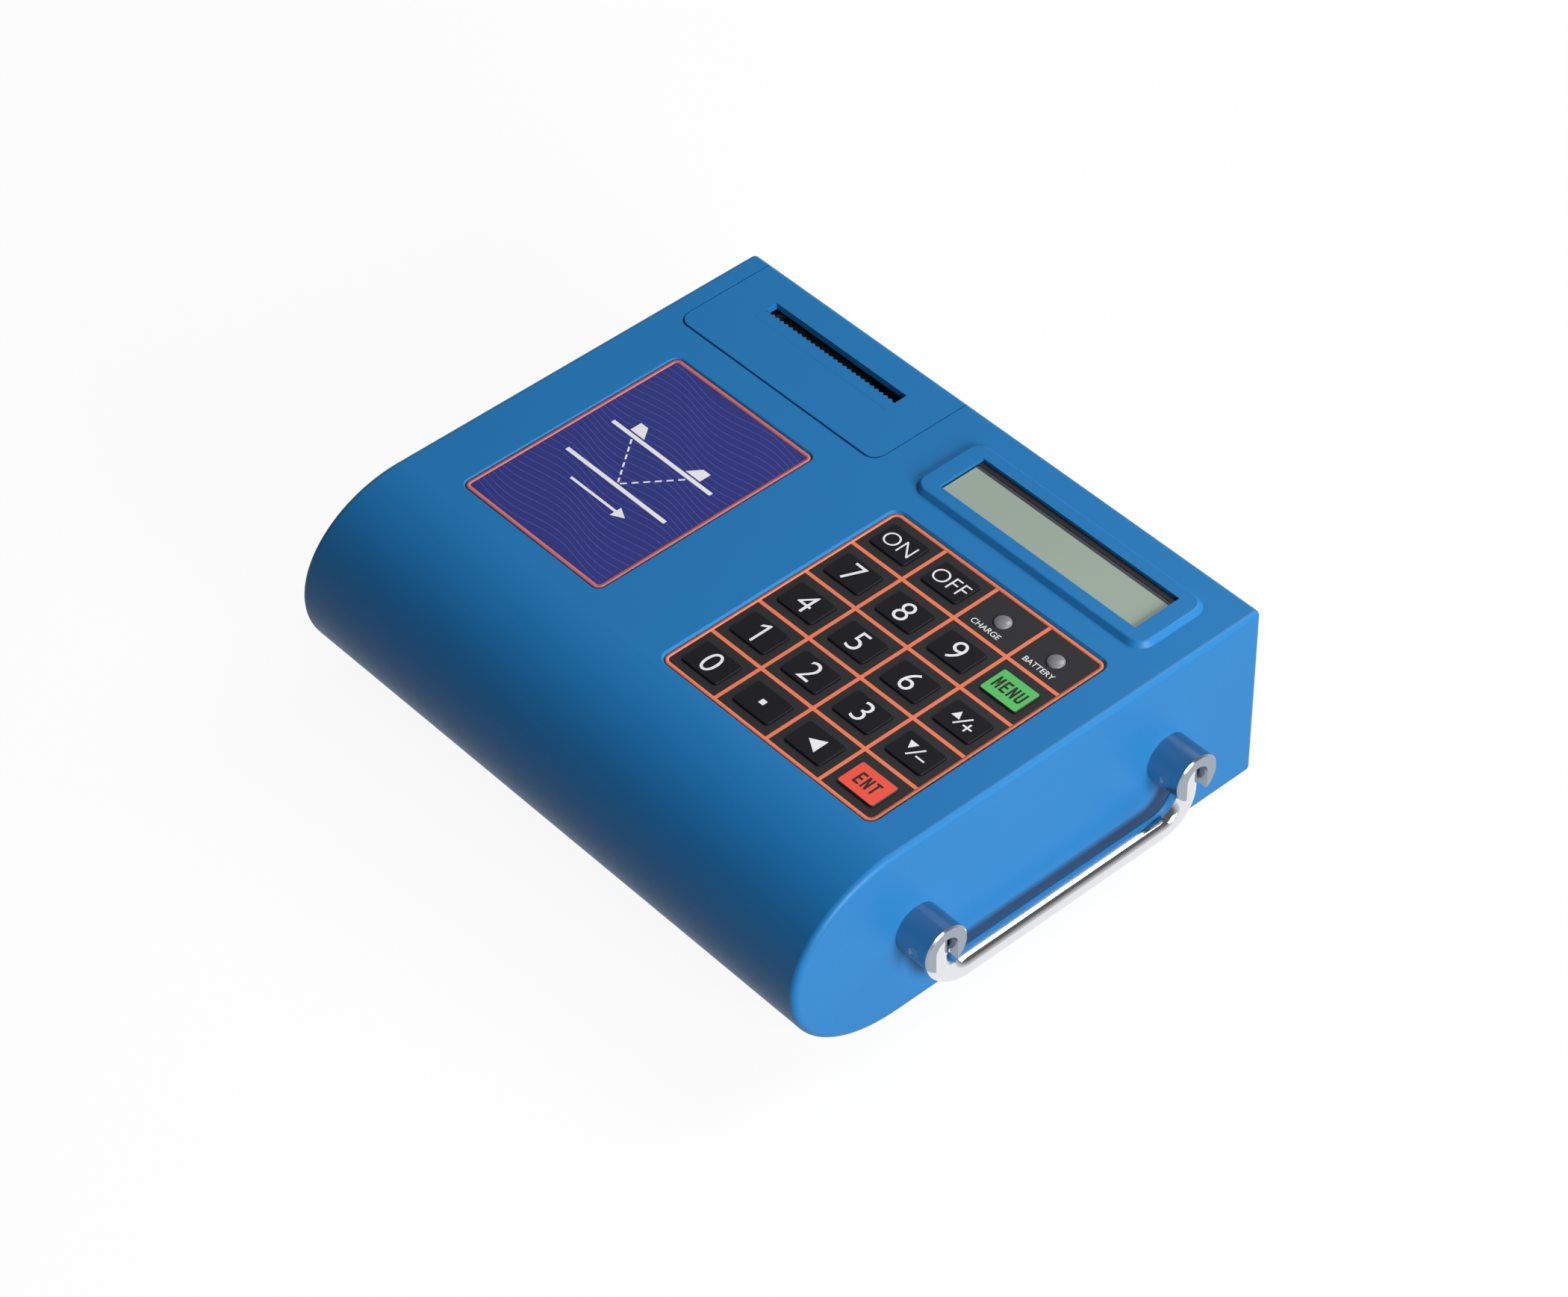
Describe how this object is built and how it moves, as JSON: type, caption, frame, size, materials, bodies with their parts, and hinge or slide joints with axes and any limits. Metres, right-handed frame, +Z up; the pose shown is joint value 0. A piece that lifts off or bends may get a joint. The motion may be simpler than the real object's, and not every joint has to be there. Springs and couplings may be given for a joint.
{
  "type": "portable ultrasonic flow meter",
  "caption": "Table-top ultrasonic flow meter with a round nose, membrane keypad, two-line display, built-in strip printer and a fold-down bail handle on one side.",
  "frame": {"origin": "on the table, under the middle of the whole outline with handle posts and sockets", "axes": "+X to the user's right, towards the handle; +Y to the back with the sockets; +Z up"},
  "size_m": [0.2392, 0.1962, 0.0708],
  "materials": {
    "case_blue": "satin blue moulded plastic, very fine texture",
    "foot_rubber": "matt black rubber",
    "screw_steel": "plated steel",
    "keypad_film": "dark polyester film",
    "keypad_black": "near-black printed film with an orange grid",
    "dome_steel": "thin spring steel",
    "key_black": "near-black embossed film with white legends",
    "key_green": "green embossed film with a dark legend",
    "key_red": "red embossed film with a dark legend",
    "lamp_grey": "diffuse grey lamp, unlit",
    "board_green": "green circuit board",
    "label_indigo": "indigo printed plate with an orange-pink border",
    "bezel_black": "black pressed steel",
    "display_glass": "grey-green display cell",
    "frame_steel": "zinc-plated steel",
    "head_aluminium": "plain aluminium",
    "platen_rubber": "ground black rubber",
    "gear_plastic": "natural white plastic",
    "pinion_brass": "turned brass",
    "motor_steel": "drawn steel can",
    "paper_white": "plain thermal paper",
    "spindle_plastic": "black plastic",
    "handle_chrome": "bright chrome on bent rod",
    "post_steel": "turned satin-plated posts with bright end faces",
    "socket_nickel": "nickel plate",
    "socket_black": "black plastic",
    "standoff_brass": "turned brass",
    "cell_can": "cells in green shrink sleeves"
  },
  "bodies": {
    "housing": {"main_case": "case_blue", "bottom_cover": "case_blue", "rubber_feet": "foot_rubber", "cover_screws": "screw_steel", "board_screws": "screw_steel", "post_nuts": "screw_steel", "socket_nuts": "screw_steel", "handle_pins": "screw_steel", "cover_hinge_pin": "screw_steel", "keypad_base": "keypad_film", "keypad_overlay": "keypad_black", "contact_domes": "dome_steel", "indicator_lamps": "lamp_grey", "led_board": "board_green", "lcd_board": "board_green", "main_board": "board_green", "measuring_board": "board_green", "label_plate": "label_indigo", "lcd_bezel": "bezel_black", "lcd_glass": "display_glass", "printer_frame": "frame_steel", "print_head": "head_aluminium", "print_motor": "motor_steel", "roll_spindle": "spindle_plastic", "battery_tray": "spindle_plastic", "handle_posts": "post_steel", "sensor_socket_up": "socket_nickel", "sensor_socket_down": "socket_nickel", "serial_port": "socket_nickel", "charge_jack": "socket_black", "buzzer": "socket_black", "board_standoffs": "standoff_brass", "battery_cells": "cell_can"},
    "key_on": {"key_on": "key_black"},
    "key_off": {"key_off": "key_black"},
    "key_7": {"key_7": "key_black"},
    "key_8": {"key_8": "key_black"},
    "key_9": {"key_9": "key_black"},
    "key_menu": {"key_menu": "key_green"},
    "key_4": {"key_4": "key_black"},
    "key_5": {"key_5": "key_black"},
    "key_6": {"key_6": "key_black"},
    "key_up_plus": {"key_up_plus": "key_black"},
    "key_1": {"key_1": "key_black"},
    "key_2": {"key_2": "key_black"},
    "key_3": {"key_3": "key_black"},
    "key_down_minus": {"key_down_minus": "key_black"},
    "key_0": {"key_0": "key_black"},
    "key_dot": {"key_dot": "key_black"},
    "key_left": {"key_left": "key_black"},
    "key_enter": {"key_enter": "key_red"},
    "handle": {"handle_bail": "handle_chrome"},
    "printer_door": {"printer_cover": "case_blue", "tear_bar": "case_blue"},
    "platen": {"platen_roller": "platen_rubber", "platen_shaft": "frame_steel", "platen_gear": "gear_plastic"},
    "idler": {"idler_gear": "gear_plastic"},
    "pinion": {"motor_pinion": "pinion_brass"},
    "paper_roll": {"paper_roll": "paper_white"}
  },
  "joints": [
    {"name": "key_on_press", "type": "slide", "parent": "housing", "child": "key_on", "axis": [0, 0, -1], "range_m": [0, 0.0004], "stiffness_N_per_m": 300, "springref_m": -0.001},
    {"name": "key_off_press", "type": "slide", "parent": "housing", "child": "key_off", "axis": [0, 0, -1], "range_m": [0, 0.0004], "stiffness_N_per_m": 300, "springref_m": -0.001},
    {"name": "key_7_press", "type": "slide", "parent": "housing", "child": "key_7", "axis": [0, 0, -1], "range_m": [0, 0.0004], "stiffness_N_per_m": 300, "springref_m": -0.001},
    {"name": "key_8_press", "type": "slide", "parent": "housing", "child": "key_8", "axis": [0, 0, -1], "range_m": [0, 0.0004], "stiffness_N_per_m": 300, "springref_m": -0.001},
    {"name": "key_9_press", "type": "slide", "parent": "housing", "child": "key_9", "axis": [0, 0, -1], "range_m": [0, 0.0004], "stiffness_N_per_m": 300, "springref_m": -0.001},
    {"name": "key_menu_press", "type": "slide", "parent": "housing", "child": "key_menu", "axis": [0, 0, -1], "range_m": [0, 0.0004], "stiffness_N_per_m": 300, "springref_m": -0.001},
    {"name": "key_4_press", "type": "slide", "parent": "housing", "child": "key_4", "axis": [0, 0, -1], "range_m": [0, 0.0004], "stiffness_N_per_m": 300, "springref_m": -0.001},
    {"name": "key_5_press", "type": "slide", "parent": "housing", "child": "key_5", "axis": [0, 0, -1], "range_m": [0, 0.0004], "stiffness_N_per_m": 300, "springref_m": -0.001},
    {"name": "key_6_press", "type": "slide", "parent": "housing", "child": "key_6", "axis": [0, 0, -1], "range_m": [0, 0.0004], "stiffness_N_per_m": 300, "springref_m": -0.001},
    {"name": "key_up_plus_press", "type": "slide", "parent": "housing", "child": "key_up_plus", "axis": [0, 0, -1], "range_m": [0, 0.0004], "stiffness_N_per_m": 300, "springref_m": -0.001},
    {"name": "key_1_press", "type": "slide", "parent": "housing", "child": "key_1", "axis": [0, 0, -1], "range_m": [0, 0.0004], "stiffness_N_per_m": 300, "springref_m": -0.001},
    {"name": "key_2_press", "type": "slide", "parent": "housing", "child": "key_2", "axis": [0, 0, -1], "range_m": [0, 0.0004], "stiffness_N_per_m": 300, "springref_m": -0.001},
    {"name": "key_3_press", "type": "slide", "parent": "housing", "child": "key_3", "axis": [0, 0, -1], "range_m": [0, 0.0004], "stiffness_N_per_m": 300, "springref_m": -0.001},
    {"name": "key_down_minus_press", "type": "slide", "parent": "housing", "child": "key_down_minus", "axis": [0, 0, -1], "range_m": [0, 0.0004], "stiffness_N_per_m": 300, "springref_m": -0.001},
    {"name": "key_0_press", "type": "slide", "parent": "housing", "child": "key_0", "axis": [0, 0, -1], "range_m": [0, 0.0004], "stiffness_N_per_m": 300, "springref_m": -0.001},
    {"name": "key_dot_press", "type": "slide", "parent": "housing", "child": "key_dot", "axis": [0, 0, -1], "range_m": [0, 0.0004], "stiffness_N_per_m": 300, "springref_m": -0.001},
    {"name": "key_left_press", "type": "slide", "parent": "housing", "child": "key_left", "axis": [0, 0, -1], "range_m": [0, 0.0004], "stiffness_N_per_m": 300, "springref_m": -0.001},
    {"name": "key_enter_press", "type": "slide", "parent": "housing", "child": "key_enter", "axis": [0, 0, -1], "range_m": [0, 0.0004], "stiffness_N_per_m": 300, "springref_m": -0.001},
    {"name": "handle_swing", "type": "hinge", "parent": "housing", "child": "handle", "pos_m": [0.11413, 0.00032, 0.03396], "axis": [0, -1, 0], "range_deg": [0, 90]},
    {"name": "printer_door_hinge", "type": "hinge", "parent": "housing", "child": "printer_door", "pos_m": [-0.06582, 0.08563, 0.01125], "axis": [-1, 0, 0], "range_deg": [0, 90]},
    {"name": "platen_spin", "type": "hinge", "parent": "housing", "child": "platen", "pos_m": [-0.06582, 0.08, 0.05596], "axis": [1, 0, 0], "continuous": true},
    {"name": "idler_spin", "type": "hinge", "parent": "housing", "child": "idler", "pos_m": [-0.06582, 0.0708, 0.0489], "axis": [1, 0, 0], "continuous": true},
    {"name": "pinion_spin", "type": "hinge", "parent": "housing", "child": "pinion", "pos_m": [-0.06582, 0.06344, 0.05625], "axis": [1, 0, 0], "continuous": true},
    {"name": "paper_roll_spin", "type": "hinge", "parent": "housing", "child": "paper_roll", "pos_m": [-0.06582, 0.06613, 0.03275], "axis": [1, 0, 0], "continuous": true}
  ],
  "couplings": [
    {"joint": "idler_spin", "follows": "platen_spin", "ratio": -0.8125},
    {"joint": "pinion_spin", "follows": "platen_spin", "ratio": 1.3}
  ]
}
